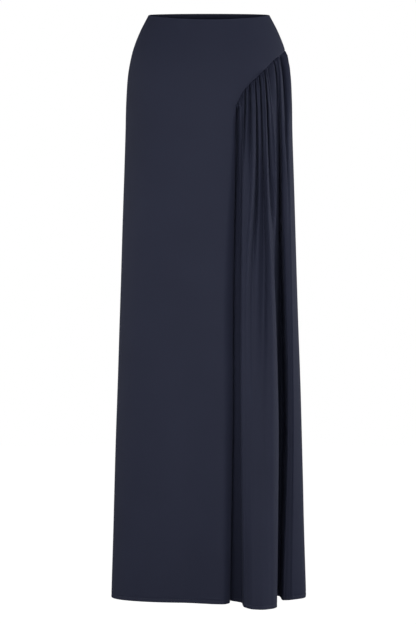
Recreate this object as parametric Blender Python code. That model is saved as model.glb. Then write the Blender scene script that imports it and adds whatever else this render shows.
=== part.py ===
"""Gathered maxi skirt, worn shape with no wearer.

Metres, +Z up. X runs to the right as seen from the front, the front faces -Y, and the origin is the middle of
the waist at the height of its sides. "Drop" is the height below that origin, "depth" the distance in front of
it, and "girth" the angle round the body: 0 at the centre front, 90 degrees at the right side.
"""
from collections import namedtuple
from math import cos, pi, radians, sin

import bmesh
import bpy
from mathutils import Vector

# ---------------------------------------------------------------- driving sizes
CLOTH = 0.0012              # thickness of the cloth wall
SEAM_GAP = 0.0003           # clear space between two pieces at a seam
HEM_DROP = 1.1042           # height from the sides of the waist to the hem
WAIST_FRONT_DIP = 0.0139    # how far the waist edge dips at the centre front
WAIST_BACK_RISE = 0.0092    # how far it rises at the centre back
FRONT_DIP_POWER = 1.5       # above 1, the dip is kept to the middle of the front
BACK_RISE_POWER = 0.8       # below 1, the rise spreads towards the sides
GATHERED_SAG = 0.0055       # how much lower the gathered panel's hem hangs
SAG_LEAN = 0.7              # below 1, the sag starts close to the groove
SAG_FULLNESS = 0.6          # below 1, the sag is full over most of the hem
SIDE_SEAM = radians(95.0)   # girth of both side seams, just behind the widest point

# The body of the skirt as horizontal sections, from just above the waist to just below the hem.
Section = namedtuple("Section", "drop half_width front back squareness")
SECTIONS = [
    Section(-0.015, 0.1065, 0.079, 0.082, 2.10),
    Section(0.000, 0.1140, 0.082, 0.085, 2.10),
    Section(0.030, 0.1295, 0.088, 0.093, 2.10),
    Section(0.060, 0.1415, 0.094, 0.101, 2.12),
    Section(0.100, 0.1508, 0.100, 0.110, 2.15),
    Section(0.160, 0.1560, 0.104, 0.117, 2.20),
    Section(0.220, 0.1577, 0.106, 0.118, 2.25),
    Section(0.330, 0.1613, 0.106, 0.115, 2.30),
    Section(0.560, 0.1690, 0.101, 0.109, 2.35),
    Section(0.800, 0.1770, 0.091, 0.104, 2.40),
    Section(1.130, 0.1870, 0.076, 0.100, 2.45),
]

# The slanted seam that carries the gathers, from the corner in the front to the right side seam.
SeamPoint = namedtuple("SeamPoint", "girth drop")
GATHER_SEAM = [
    SeamPoint(radians(17.8), 0.1686),
    SeamPoint(radians(21.2), 0.1500),
    SeamPoint(radians(27.6), 0.1324),
    SeamPoint(radians(37.3), 0.1132),
    SeamPoint(radians(49.5), 0.0926),
    SeamPoint(radians(80.8), 0.0677),
    SeamPoint(SIDE_SEAM, 0.0625),
]
CORNER = GATHER_SEAM[0]

# The free-hanging edge of the front panel below the corner: where it turns back, and how round it is.
EdgeRow = namedtuple("EdgeRow", "drop edge_x roll swing")
FRONT_EDGE = [
    EdgeRow(CORNER.drop, 0.0535, 0.0005, 0.000),
    EdgeRow(0.195, 0.0505, 0.0040, 0.000),
    EdgeRow(0.250, 0.0490, 0.0060, 0.000),
    EdgeRow(0.450, 0.0460, 0.0100, 0.002),
    EdgeRow(0.750, 0.0440, 0.0160, 0.010),
    EdgeRow(HEM_DROP, 0.0378, 0.0220, 0.017),
]
SWING_WIDTH = 0.080         # how far from that edge the front panel swings forward
GROOVE_WALL_MIDDLE = 0.5    # how far down the groove its wall is straightest, as a share of its depth
GROOVE_WALL_LEAN = 0.3      # how far across towards the seam the wall is there, as a share

# The large folds of the gathered panel, a row for each line of cloth from seam to hem. Share is the line's
# place across the cloth; right and depth say where it lies at the five drops below.
FOLD_DROPS = (0.250, 0.340, 0.450, 0.750, HEM_DROP)
Fold = namedtuple("Fold", "name share right depth")
FOLDS = [
    Fold("groove seam", 0.000, (0.0515, 0.0505, 0.0490, 0.0465, 0.0400), (0.087, 0.082, 0.077, 0.056, 0.014)),
    Fold("groove", 0.040, (0.0555, 0.0560, 0.0560, 0.0545, 0.0550), (0.087, 0.082, 0.077, 0.052, 0.010)),
    Fold("flank foot", 0.100, (0.0600, 0.0595, 0.0600, 0.0585, 0.0610), (0.099, 0.097, 0.092, 0.066, 0.038)),
    Fold("flank", 0.190, (0.0730, 0.0690, 0.0660, 0.0625, 0.0672), (0.108, 0.110, 0.108, 0.090, 0.082)),
    Fold("shoulder", 0.260, (0.0850, 0.0823, 0.0790, 0.0705, 0.0755), (0.106, 0.110, 0.110, 0.107, 0.112)),
    Fold("big crest", 0.296, (0.0890, 0.0862, 0.0835, 0.0810, 0.0860), (0.096, 0.097, 0.100, 0.112, 0.122)),
    Fold("crest right", 0.362, (0.0985, 0.0985, 0.0985, 0.1020, 0.1110), (0.094, 0.092, 0.093, 0.113, 0.118)),
    Fold("bright edge", 0.412, (0.1065, 0.1127, 0.1172, 0.1240, 0.1260), (0.100, 0.102, 0.103, 0.106, 0.098)),
    Fold("behind edge", 0.453, (0.1110, 0.1150, 0.1172, 0.1300, 0.1285), (0.085, 0.086, 0.090, 0.086, 0.066)),
    Fold("next ridge", 0.490, (0.1198, 0.1257, 0.1180, 0.1290, 0.1275), (0.090, 0.086, 0.077, 0.058, 0.036)),
    Fold("deep wall", 0.550, (0.1262, 0.1268, 0.1175, 0.1280, 0.1270), (0.071, 0.064, 0.054, 0.026, 0.004)),
    Fold("deep valley", 0.640, (0.130, 0.131, 0.129, 0.135, 0.1335), (0.050, 0.040, 0.030, -0.012, -0.034)),
    Fold("valley rise", 0.730, (0.1352, 0.1365, 0.1392, 0.146, 0.140), (0.060, 0.054, 0.048, 0.012, -0.007)),
    Fold("side left", 0.800, (0.1420, 0.1430, 0.1455, 0.1510, 0.1470), (0.065, 0.064, 0.064, 0.040, 0.016)),
    Fold("side ridge", 0.862, (0.1490, 0.1515, 0.1540, 0.1605, 0.1600), (0.055, 0.056, 0.057, 0.042, 0.025)),
    Fold("side round", 0.935, (0.1575, 0.1600, 0.1635, 0.1735, 0.1820), (0.026, 0.026, 0.026, 0.020, 0.010)),
]
GROOVE_DEPTH = 0.009        # how much deeper the groove is just below the corner
GROOVE_START = 0.016        # distance below the corner over which it reaches that depth
GROOVE_LENGTH = 0.100       # distance over which the extra depth fades again
GROOVE_SHARE = 0.080        # how much of the gathered cloth's width it takes

# The small gathers under the slanted seam: each crest's place across the cloth, its height and its length.
Gather = namedtuple("Gather", "share height reach")
GATHERS = [
    Gather(0.000, 0.0000, 0.05),
    Gather(0.036, 0.0020, 0.06),
    Gather(0.075, 0.0044, 0.20),
    Gather(0.116, 0.0038, 0.10),
    Gather(0.160, 0.0060, 0.30),
    Gather(0.208, 0.0048, 0.18),
    Gather(0.260, 0.0070, 0.36),
    Gather(0.318, 0.0064, 0.26),
    Gather(0.364, 0.0046, 0.14),
    Gather(0.412, 0.0070, 0.34),
    Gather(0.452, 0.0044, 0.12),
    Gather(0.492, 0.0070, 0.34),
    Gather(0.536, 0.0046, 0.12),
    Gather(0.582, 0.0058, 0.24),
    Gather(0.636, 0.0050, 0.16),
    Gather(0.692, 0.0056, 0.28),
    Gather(0.748, 0.0050, 0.20),
    Gather(0.805, 0.0064, 0.34),
    Gather(0.870, 0.0050, 0.26),
    Gather(0.936, 0.0036, 0.18),
    Gather(1.000, 0.0000, 0.05),
]
GATHER_START = 0.010        # distance below the seam over which a gather reaches its height
GATHER_PUFF = 0.18          # share of its height by which a gather stands out from the body

# The soft folds of the back: place from the right side seam (0) to the left (1), width, height at the hem,
# and the drop where it starts.
BackFold = namedtuple("BackFold", "place width height start")
BACK_FOLDS = [
    BackFold(0.15, 0.16, 0.012, 0.30),
    BackFold(0.34, 0.15, 0.009, 0.42),
    BackFold(0.53, 0.17, 0.013, 0.24),
    BackFold(0.71, 0.14, 0.008, 0.46),
    BackFold(0.87, 0.13, 0.007, 0.36),
]

# ---------------------------------------------------------------- mesh densities
STEPS_PER_GATHER = 6        # columns from one gather's crest to the next
ROWS_BELOW_SEAM = 18        # rows from the slanted seam, or the corner, to the hem
ROW_GROWTH = 1.75           # how much the rows lengthen towards the hem
ROWS_ABOVE_CORNER = 7
FRONT_COLUMNS = 24
FRONT_CROWDING = 1.6        # how much closer the columns stand at the front panel's turned edge
YOKE_COLUMNS = 20
BACK_COLUMNS = 30
BACK_ROWS = 20
SAMPLES = 160               # points on a curve whose length is measured
SHARP_ANGLE = radians(60.0) # a wall's rim is shaded as a sharp edge

# ---------------------------------------------------------------- colours
FRONT_COLOUR = (0.0245, 0.0290, 0.0465, 1.0)
GATHERED_COLOUR = (0.0265, 0.0310, 0.0490, 1.0)
BACK_COLOUR = (0.0235, 0.0280, 0.0450, 1.0)
JERSEY_ROUGHNESS = 0.75


# ---------------------------------------------------------------- curves
def smooth_step(value):
    """0 below 0, 1 above 1, and a soft S between."""
    clamped = min(1.0, max(0.0, value))
    return clamped * clamped * (3.0 - 2.0 * clamped)


def soft_hump(off):
    """1 in the middle, where off is 0, and softly down to 0 where off is 1."""
    return 0.5 + 0.5 * cos(pi * min(1.0, off))


def slope_at(knots, values, index):
    """The slope of a smooth curve through the values, at one of its knots."""
    last = len(knots) - 1
    if index == 0:
        return (values[1] - values[0]) / (knots[1] - knots[0])
    if index == last:
        return (values[last] - values[last - 1]) / (knots[last] - knots[last - 1])
    before = knots[index] - knots[index - 1]
    after = knots[index + 1] - knots[index]
    slope_before = (values[index] - values[index - 1]) / before
    slope_after = (values[index + 1] - values[index]) / after
    return (slope_before * after + slope_after * before) / (before + after)


def smooth_curve(knots, values, at):
    """The value, a number or a Vector, of a smooth curve through the values at their knots."""
    index = 0
    while index < len(knots) - 2 and at > knots[index + 1]:
        index += 1
    span = knots[index + 1] - knots[index]
    t = (at - knots[index]) / span
    start_slope = slope_at(knots, values, index) * span
    end_slope = slope_at(knots, values, index + 1) * span
    return (
        values[index] * (2.0 * t ** 3 - 3.0 * t ** 2 + 1.0)
        + start_slope * (t ** 3 - 2.0 * t ** 2 + t)
        + values[index + 1] * (3.0 * t ** 2 - 2.0 * t ** 3)
        + end_slope * (t ** 3 - t ** 2)
    )


def table_value(rows, column, drop):
    """One column of a table of rows, at any drop."""
    knots = [row.drop for row in rows]
    values = [getattr(row, column) for row in rows]
    return smooth_curve(knots, values, drop)


def points_by_length(points, shares):
    """Points at given shares of the length of a line of points."""
    lengths = [0.0]
    for start, end in zip(points, points[1:]):
        lengths.append(lengths[-1] + (end - start).length)
    found = []
    index = 0
    for share in shares:
        wanted = share * lengths[-1]
        while index < len(points) - 2 and lengths[index + 1] < wanted:
            index += 1
        span = lengths[index + 1] - lengths[index]
        found.append(points[index].lerp(points[index + 1], (wanted - lengths[index]) / span))
    return found


# ---------------------------------------------------------------- the body of the skirt
def rounded_power(value, squareness):
    """A sine or cosine reshaped so that the section is a little squarer than an ellipse."""
    sign = 1.0 if value >= 0.0 else -1.0
    return sign * abs(value) ** (2.0 / squareness)


def body_point(girth, drop):
    squareness = table_value(SECTIONS, "squareness", drop)
    side = "front" if cos(girth) >= 0.0 else "back"
    right = table_value(SECTIONS, "half_width", drop) * rounded_power(sin(girth), squareness)
    depth = table_value(SECTIONS, side, drop) * rounded_power(cos(girth), squareness)
    return Vector((right, -depth, -drop))


def body_normal(girth, drop):
    """The outward direction of the body of the skirt."""
    step = 0.01
    across = body_point(girth + step, drop) - body_point(girth - step, drop)
    down = body_point(girth, drop + step) - body_point(girth, drop - step)
    return down.cross(across).normalized()


def waist_drop(girth):
    """The waist edge is level at the sides, dips in front and rises at the back."""
    facing = cos(girth)
    if facing >= 0.0:
        return WAIST_FRONT_DIP * facing ** FRONT_DIP_POWER
    return -WAIST_BACK_RISE * (-facing) ** BACK_RISE_POWER


def drop_from_waist(girth, bottom, share):
    """The drop at a share of the way from the waist edge down to the bottom."""
    waist = waist_drop(girth)
    return waist + (bottom - waist) * share


# ---------------------------------------------------------------- the gathered panel
def measured_seam():
    """The slanted seam as points (girth, drop) with their share of the seam's length."""
    knots = [point.girth for point in GATHER_SEAM]
    drops = [point.drop for point in GATHER_SEAM]
    rows = []
    length = 0.0
    last = None
    for index in range(SAMPLES + 1):
        girth = knots[0] + (knots[-1] - knots[0]) * index / SAMPLES
        drop = smooth_curve(knots, drops, girth)
        place = body_point(girth, drop)
        if last is not None:
            length += (place - last).length
        rows.append((length, girth, drop))
        last = place
    return [(row[0] / length, row[1], row[2]) for row in rows]


MEASURED_SEAM = measured_seam()


def seam_place(share):
    """The girth and drop of the slanted seam at a share of its length."""
    shares = [row[0] for row in MEASURED_SEAM]
    girths = [row[1] for row in MEASURED_SEAM]
    drops = [row[2] for row in MEASURED_SEAM]
    return smooth_curve(shares, girths, share), smooth_curve(shares, drops, share)


def fold_section(share, level):
    """How far right and how deep a line of cloth lies, at one of the fold drops."""
    side = body_point(SIDE_SEAM, FOLD_DROPS[level])
    shares = [fold.share for fold in FOLDS] + [1.0]
    rights = [fold.right[level] for fold in FOLDS] + [side.x]
    depths = [fold.depth[level] for fold in FOLDS] + [-side.y]
    return smooth_curve(shares, rights, share), smooth_curve(shares, depths, share)


def fold_offset(share, level):
    """How far the large folds carry a line of cloth off the body, at one of the fold drops."""
    girth, _ = seam_place(share)
    right, depth = fold_section(share, level)
    drop = FOLD_DROPS[level]
    return Vector((right, -depth, -drop)) - body_point(girth, drop)


def groove_offset(share, below_corner):
    """The extra depth of the groove just below the corner, where the seam is pulled in."""
    rise = smooth_step(below_corner / GROOVE_START)
    fade = 1.0 - smooth_step((below_corner - GROOVE_START) / GROOVE_LENGTH)
    across = 1.0 - smooth_step(share / GROOVE_SHARE)
    return Vector((0.0, GROOVE_DEPTH * rise * fade * across, 0.0))


def large_fold_line(share, drops):
    """A line of the gathered panel's cloth, without its small gathers."""
    girth, seam_drop = seam_place(share)
    knots = [seam_drop] + list(FOLD_DROPS)
    offsets = [Vector((0.0, 0.0, 0.0))] + [fold_offset(share, level) for level in range(len(FOLD_DROPS))]
    points = []
    for drop in drops:
        fold = smooth_curve(knots, offsets, drop)
        points.append(body_point(girth, drop) + fold + groove_offset(share, drop - CORNER.drop))
    return points


def rows_between(top, bottom):
    """The drops of the rows from the slanted seam to the hem, longer towards the hem."""
    height = bottom - top
    return [top + height * (row / ROWS_BELOW_SEAM) ** ROW_GROWTH for row in range(ROWS_BELOW_SEAM + 1)]


def gathered_hem(share):
    """The drop of the gathered panel's hem, which sags between its two seams."""
    return HEM_DROP + GATHERED_SAG * max(0.0, sin(pi * share ** SAG_LEAN)) ** SAG_FULLNESS


Column = namedtuple("Column", "share left right place")


def gather_columns():
    """Each column's share of the cloth, with the two gathers it lies between and its place between them."""
    columns = []
    for left, right in zip(GATHERS, GATHERS[1:]):
        for step in range(STEPS_PER_GATHER):
            place = step / STEPS_PER_GATHER
            share = left.share + (right.share - left.share) * place
            columns.append(Column(share, left, right, place))
    columns.append(Column(1.0, GATHERS[-2], GATHERS[-1], 1.0))
    return columns


def gather_height(gather, below_seam):
    rise = smooth_step(below_seam / GATHER_START)
    return gather.height * rise * soft_hump(below_seam / gather.reach)


def gathered_grid():
    """Rows of points of the gathered panel, from the slanted seam to the hem."""
    columns = gather_columns()
    drops = [rows_between(seam_place(column.share)[1], gathered_hem(column.share)) for column in columns]
    lines = [large_fold_line(column.share, line_drops) for column, line_drops in zip(columns, drops)]
    last = len(columns) - 1
    grid = []
    for row in range(ROWS_BELOW_SEAM + 1):
        points = []
        for index, column in enumerate(columns):
            along = lines[min(last, index + 1)][row] - lines[max(0, index - 1)][row]
            outward = Vector((along.y, -along.x, 0.0)).normalized()
            below_seam = drops[index][row] - drops[index][0]
            left = gather_height(column.left, below_seam) * (1.0 - column.place)
            right = gather_height(column.right, below_seam) * column.place
            wave = 0.5 * cos(2.0 * pi * column.place) + GATHER_PUFF
            points.append(lines[index][row] + outward * (left + right) * wave)
        grid.append(points)
    return grid


# ---------------------------------------------------------------- the front and the back
def front_section(drop):
    """A section of the front below the corner, from the left side seam to the seam in the groove."""
    edge_x = table_value(FRONT_EDGE, "edge_x", drop)
    roll = table_value(FRONT_EDGE, "roll", drop)
    swing = table_value(FRONT_EDGE, "swing", drop)
    flat_end = edge_x - roll
    points = []
    for index in range(SAMPLES):
        girth = -SIDE_SEAM + (CORNER.girth + SIDE_SEAM) * index / SAMPLES
        point = body_point(girth, drop)
        point.y -= swing * smooth_step((point.x - flat_end + SWING_WIDTH) / SWING_WIDTH)
        if point.x > flat_end:
            break
        points.append(point)
    seam = large_fold_line(0.0, [drop])[0]
    start = points[-1]
    turn = Vector((edge_x, start.y + roll, -drop))
    wall_x = edge_x + (seam.x - edge_x) * GROOVE_WALL_LEAN
    wall_y = turn.y + (seam.y - turn.y) * GROOVE_WALL_MIDDLE
    wall = Vector((wall_x, wall_y, -drop))
    knots = [0.0]
    corners = [points[-2], start, turn, wall, seam]
    for left, right in zip(corners, corners[1:]):
        knots.append(knots[-1] + (right - left).length)
    for index in range(1, SAMPLES + 1):
        at = knots[1] + (knots[-1] - knots[1]) * index / SAMPLES
        points.append(smooth_curve(knots, corners, at))
    return points


def crowded(count):
    """Shares from 0 to 1 that stand closer together towards 1."""
    return [1.0 - (1.0 - index / count) ** FRONT_CROWDING for index in range(count + 1)]


def front_row_above(share):
    """A row of the front above the corner, from the left side seam to the corner's girth."""
    points = []
    for index in range(SAMPLES + 1):
        girth = -SIDE_SEAM + (CORNER.girth + SIDE_SEAM) * index / SAMPLES
        points.append(body_point(girth, drop_from_waist(girth, CORNER.drop, share)))
    return points_by_length(points, crowded(FRONT_COLUMNS))


def front_grid():
    """Rows of the front from the waist to the hem, left of the corner."""
    grid = [front_row_above(row / ROWS_ABOVE_CORNER) for row in range(ROWS_ABOVE_CORNER + 1)]
    for drop in rows_between(CORNER.drop, HEM_DROP)[1:]:
        grid.append(points_by_length(front_section(drop), crowded(FRONT_COLUMNS)))
    return grid


def yoke_grid():
    """Rows of the hip yoke, from the waist to the slanted seam, right of the corner."""
    places = [seam_place(column / YOKE_COLUMNS) for column in range(YOKE_COLUMNS + 1)]
    grid = []
    for row in range(ROWS_ABOVE_CORNER + 1):
        share = row / ROWS_ABOVE_CORNER
        grid.append([body_point(girth, drop_from_waist(girth, bottom, share)) for girth, bottom in places])
    return grid


def back_fold_height(place, drop):
    height = 0.0
    for fold in BACK_FOLDS:
        growth = smooth_step((drop - fold.start) / (HEM_DROP - fold.start))
        height += fold.height * growth * soft_hump(abs(place - fold.place) / fold.width)
    return height


def back_grid():
    """Rows of the back from the waist to the hem, from the right side seam to the left."""
    grid = []
    for row in range(BACK_ROWS + 1):
        points = []
        for column in range(BACK_COLUMNS + 1):
            place = column / BACK_COLUMNS
            girth = SIDE_SEAM + (2.0 * pi - 2.0 * SIDE_SEAM) * place
            drop = drop_from_waist(girth, HEM_DROP, row / BACK_ROWS)
            point = body_point(girth, drop)
            points.append(point + body_normal(girth, drop) * back_fold_height(place, drop))
        grid.append(points)
    return grid


# ---------------------------------------------------------------- walls of cloth
class Sheet:
    """The middle surface of one piece of cloth, as points and four-sided faces."""

    def __init__(self, name):
        self.name = name
        self.points = []
        self.faces = []
        self.set_normals = {}

    def add_grid(self, grid, shared=None):
        """Adds rows of points; shared gives the ids of points that are there already, by row and column."""
        shared = shared or {}
        ids = []
        for row, points in enumerate(grid):
            line = []
            for column, point in enumerate(points):
                if (row, column) in shared:
                    line.append(shared[(row, column)])
                    continue
                self.points.append(point.copy())
                line.append(len(self.points) - 1)
            ids.append(line)
        for upper, lower in zip(ids, ids[1:]):
            for column in range(len(upper) - 1):
                self.faces.append((upper[column], lower[column], lower[column + 1], upper[column + 1]))
        return ids

    def face_normal(self, face):
        a, b, c, d = [self.points[index] for index in face]
        return (c - a).cross(d - b)

    def normals(self):
        sums = [Vector((0.0, 0.0, 0.0)) for _ in self.points]
        for face in self.faces:
            normal = self.face_normal(face)
            for index in face:
                sums[index] += normal
        found = [total.normalized() for total in sums]
        for index, normal in self.set_normals.items():
            found[index] = normal
        return found

    def border(self):
        """The border edges, each with its face, in the direction in which its face runs."""
        count = {}
        for face in self.faces:
            for start, end in zip(face, face[1:] + face[:1]):
                count[frozenset((start, end))] = count.get(frozenset((start, end)), 0) + 1
        edges = []
        for face in self.faces:
            for start, end in zip(face, face[1:] + face[:1]):
                if count[frozenset((start, end))] == 1:
                    edges.append((start, end, face))
        return edges

    def pull_back(self, distance):
        """Moves the border inwards along the cloth, so that neighbours stay clear of each other."""
        inward = {}
        for start, end, face in self.border():
            along = (self.points[end] - self.points[start]).normalized()
            direction = self.face_normal(face).cross(along).normalized()
            for index in (start, end):
                inward.setdefault(index, []).append(direction)
        for index, directions in inward.items():
            total = sum(directions, Vector((0.0, 0.0, 0.0)))
            reach = total.dot(directions[0])
            self.points[index] += total * (distance / reach)

    def build(self, material):
        """Makes the wall: this surface moved half the cloth's thickness each way, closed at the border."""
        normals = self.normals()
        border = self.border()
        self.pull_back(SEAM_GAP / 2.0)
        mesh = bmesh.new()
        half = CLOTH / 2.0
        outer = [mesh.verts.new(point + normal * half) for point, normal in zip(self.points, normals)]
        inner = [mesh.verts.new(point - normal * half) for point, normal in zip(self.points, normals)]
        for face in self.faces:
            mesh.faces.new([outer[index] for index in face])
            mesh.faces.new([inner[index] for index in reversed(face)])
        for start, end, _ in border:
            mesh.faces.new([outer[end], outer[start], inner[start], inner[end]])
        data = bpy.data.meshes.new(self.name)
        mesh.to_mesh(data)
        mesh.free()
        data.shade_smooth()
        data.set_sharp_from_angle(angle=SHARP_ANGLE)
        data.materials.append(material)
        piece = bpy.data.objects.new(self.name, data)
        bpy.context.scene.collection.objects.link(piece)
        return piece


def jersey(name, colour):
    """A matte jersey in one colour."""
    material = bpy.data.materials.new(name)
    material.use_nodes = True
    shader = material.node_tree.nodes["Principled BSDF"]
    shader.inputs["Base Color"].default_value = colour
    shader.inputs["Roughness"].default_value = JERSEY_ROUGHNESS
    shader.inputs["Metallic"].default_value = 0.0
    material.diffuse_color = colour
    return material


def make_front():
    sheet = Sheet("front_panel")
    main = sheet.add_grid(front_grid())
    corner_line = {(row, 0): main[row][-1] for row in range(ROWS_ABOVE_CORNER + 1)}
    yoke = sheet.add_grid(yoke_grid(), corner_line)
    for row in main:
        point = sheet.points[row[0]]
        sheet.set_normals[row[0]] = body_normal(-SIDE_SEAM, -point.z)
    for row in yoke:
        point = sheet.points[row[-1]]
        sheet.set_normals[row[-1]] = body_normal(SIDE_SEAM, -point.z)
    for column, index in enumerate(yoke[-1]):
        girth, drop = seam_place(column / YOKE_COLUMNS)
        sheet.set_normals[index] = body_normal(girth, drop)
    groove = [row[-1] for row in main[ROWS_ABOVE_CORNER:]]
    return sheet, groove


def make_gathered():
    sheet = Sheet("gathered_panel")
    ids = sheet.add_grid(gathered_grid())
    for column, index in zip(gather_columns(), ids[0]):
        girth, drop = seam_place(column.share)
        sheet.set_normals[index] = body_normal(girth, drop)
    for row in ids:
        point = sheet.points[row[-1]]
        sheet.set_normals[row[-1]] = body_normal(SIDE_SEAM, -point.z)
    groove = [row[0] for row in ids]
    return sheet, groove


def make_back():
    sheet = Sheet("back_panel")
    ids = sheet.add_grid(back_grid())
    for row in ids:
        for index, girth in ((row[0], SIDE_SEAM), (row[-1], -SIDE_SEAM)):
            sheet.set_normals[index] = body_normal(girth, -sheet.points[index].z)
    return sheet


def share_normals(sheet_a, ids_a, sheet_b, ids_b):
    """Gives two pieces the same outward direction along the seam that joins them."""
    normals_a = sheet_a.normals()
    normals_b = sheet_b.normals()
    for index_a, index_b in zip(ids_a[1:], ids_b[1:]):
        shared = (normals_a[index_a] + normals_b[index_b]).normalized()
        sheet_a.set_normals[index_a] = shared
        sheet_b.set_normals[index_b] = shared


def clear_scene():
    for piece in list(bpy.data.objects):
        bpy.data.objects.remove(piece, do_unlink=True)


def main():
    clear_scene()
    front, front_groove = make_front()
    gathered, gathered_groove = make_gathered()
    back = make_back()
    share_normals(front, front_groove, gathered, gathered_groove)
    front.build(jersey("front_jersey", FRONT_COLOUR))
    gathered.build(jersey("gathered_jersey", GATHERED_COLOUR))
    back.build(jersey("back_jersey", BACK_COLOUR))


main()
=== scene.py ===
"""Gathered maxi skirt in dark navy jersey: its looks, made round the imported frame.

Each panel's cloth is drawn again as a thin shell with its gathers, folds and turned edges. Metres, +Z up.
X runs to the right as seen from the front, the front faces -Y, and the origin is the middle of the waist.
"Drop" is the height below the origin, "depth" the distance in front of it, and "girth" the angle round the
body: 0 at the centre front, 90 degrees at the right side.
"""
from collections import namedtuple
from math import atan, cos, hypot, pi, radians, sin, sqrt

import bpy
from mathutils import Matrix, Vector, noise


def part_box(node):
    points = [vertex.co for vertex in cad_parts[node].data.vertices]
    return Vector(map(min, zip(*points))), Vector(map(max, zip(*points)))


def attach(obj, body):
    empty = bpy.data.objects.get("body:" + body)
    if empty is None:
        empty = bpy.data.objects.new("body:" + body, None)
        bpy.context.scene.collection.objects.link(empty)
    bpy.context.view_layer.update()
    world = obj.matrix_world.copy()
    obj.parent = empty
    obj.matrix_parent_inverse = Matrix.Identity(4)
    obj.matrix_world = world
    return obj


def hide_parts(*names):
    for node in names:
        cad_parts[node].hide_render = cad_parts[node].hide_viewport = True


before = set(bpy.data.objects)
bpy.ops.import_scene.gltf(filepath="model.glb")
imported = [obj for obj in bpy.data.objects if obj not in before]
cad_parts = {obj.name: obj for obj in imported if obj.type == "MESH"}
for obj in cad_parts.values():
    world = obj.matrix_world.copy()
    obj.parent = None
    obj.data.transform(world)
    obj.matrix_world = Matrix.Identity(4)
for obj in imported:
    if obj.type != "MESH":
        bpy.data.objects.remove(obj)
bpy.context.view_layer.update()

# ---------------------------------------------------------------- driving sizes
CLOTH = 0.0006              # thickness of the jersey
HEM_DROP = -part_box("back_panel")[0].z                       # height from the waist's sides to the hem
GATHERED_SAG = -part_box("gathered_panel")[0].z - HEM_DROP    # how much lower the gathered panel's hem hangs
WAIST_BACK_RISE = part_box("back_panel")[1].z                 # how far the waist edge rises at the back
WAIST_FRONT_DIP = 0.0139    # how far it dips at the centre front
FRONT_DIP_POWER = 1.5       # above 1, the dip is kept to the middle of the front
BACK_RISE_POWER = 0.8       # below 1, the rise spreads towards the sides
SAG_LEAN = 0.7              # below 1, the gathered hem's sag starts close to the groove
SAG_FULLNESS = 0.6          # below 1, the sag is full over most of the hem
SIDE_SEAM = radians(95.0)   # girth of both side seams

# The body of the skirt as horizontal sections, from just above the waist to just below the hem.
Section = namedtuple("Section", "drop half_width front back squareness")
SECTIONS = [
    Section(-0.015, 0.1065, 0.079, 0.082, 2.10),
    Section(0.000, 0.1140, 0.082, 0.085, 2.10),
    Section(0.030, 0.1295, 0.088, 0.093, 2.10),
    Section(0.060, 0.1415, 0.094, 0.101, 2.12),
    Section(0.100, 0.1508, 0.100, 0.110, 2.15),
    Section(0.160, 0.1560, 0.104, 0.117, 2.20),
    Section(0.220, 0.1577, 0.106, 0.118, 2.25),
    Section(0.330, 0.1613, 0.106, 0.115, 2.30),
    Section(0.560, 0.1690, 0.101, 0.109, 2.35),
    Section(0.800, 0.1770, 0.091, 0.104, 2.40),
    Section(1.130, 0.1870, 0.076, 0.100, 2.45),
]

# The slanted seam that carries the gathers, from the corner in the front to the right side seam.
SeamPoint = namedtuple("SeamPoint", "girth drop")
GATHER_SEAM = [
    SeamPoint(radians(17.1), 0.1700),
    SeamPoint(radians(21.2), 0.1500),
    SeamPoint(radians(27.6), 0.1324),
    SeamPoint(radians(37.3), 0.1132),
    SeamPoint(radians(49.5), 0.0926),
    SeamPoint(radians(80.8), 0.0677),
    SeamPoint(SIDE_SEAM, 0.0625),
]
CORNER = GATHER_SEAM[0]

# The free-hanging edge of the front panel below the corner: where it turns back, and how round it is.
EdgeRow = namedtuple("EdgeRow", "drop edge_x roll swing")
FRONT_EDGE = [
    EdgeRow(CORNER.drop, 0.0510, 0.0005, 0.000),
    EdgeRow(0.195, 0.0490, 0.0040, 0.000),
    EdgeRow(0.250, 0.0485, 0.0065, 0.000),
    EdgeRow(0.450, 0.0455, 0.0180, 0.002),
    EdgeRow(0.750, 0.0440, 0.0175, 0.010),
    EdgeRow(HEM_DROP, 0.0378, 0.0120, 0.017),
]
SWING_WIDTH = 0.080         # how far from that edge the front panel swings forward
GROOVE_WALL_MIDDLE = 0.5    # a point half-way down the groove's wall, as a share of its depth
GROOVE_WALL_LEAN = 0.3      # how far across towards the seam that point is, as a share
GROOVE_GAP = 0.0014         # how far left of the groove's seam the wall comes down

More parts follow.
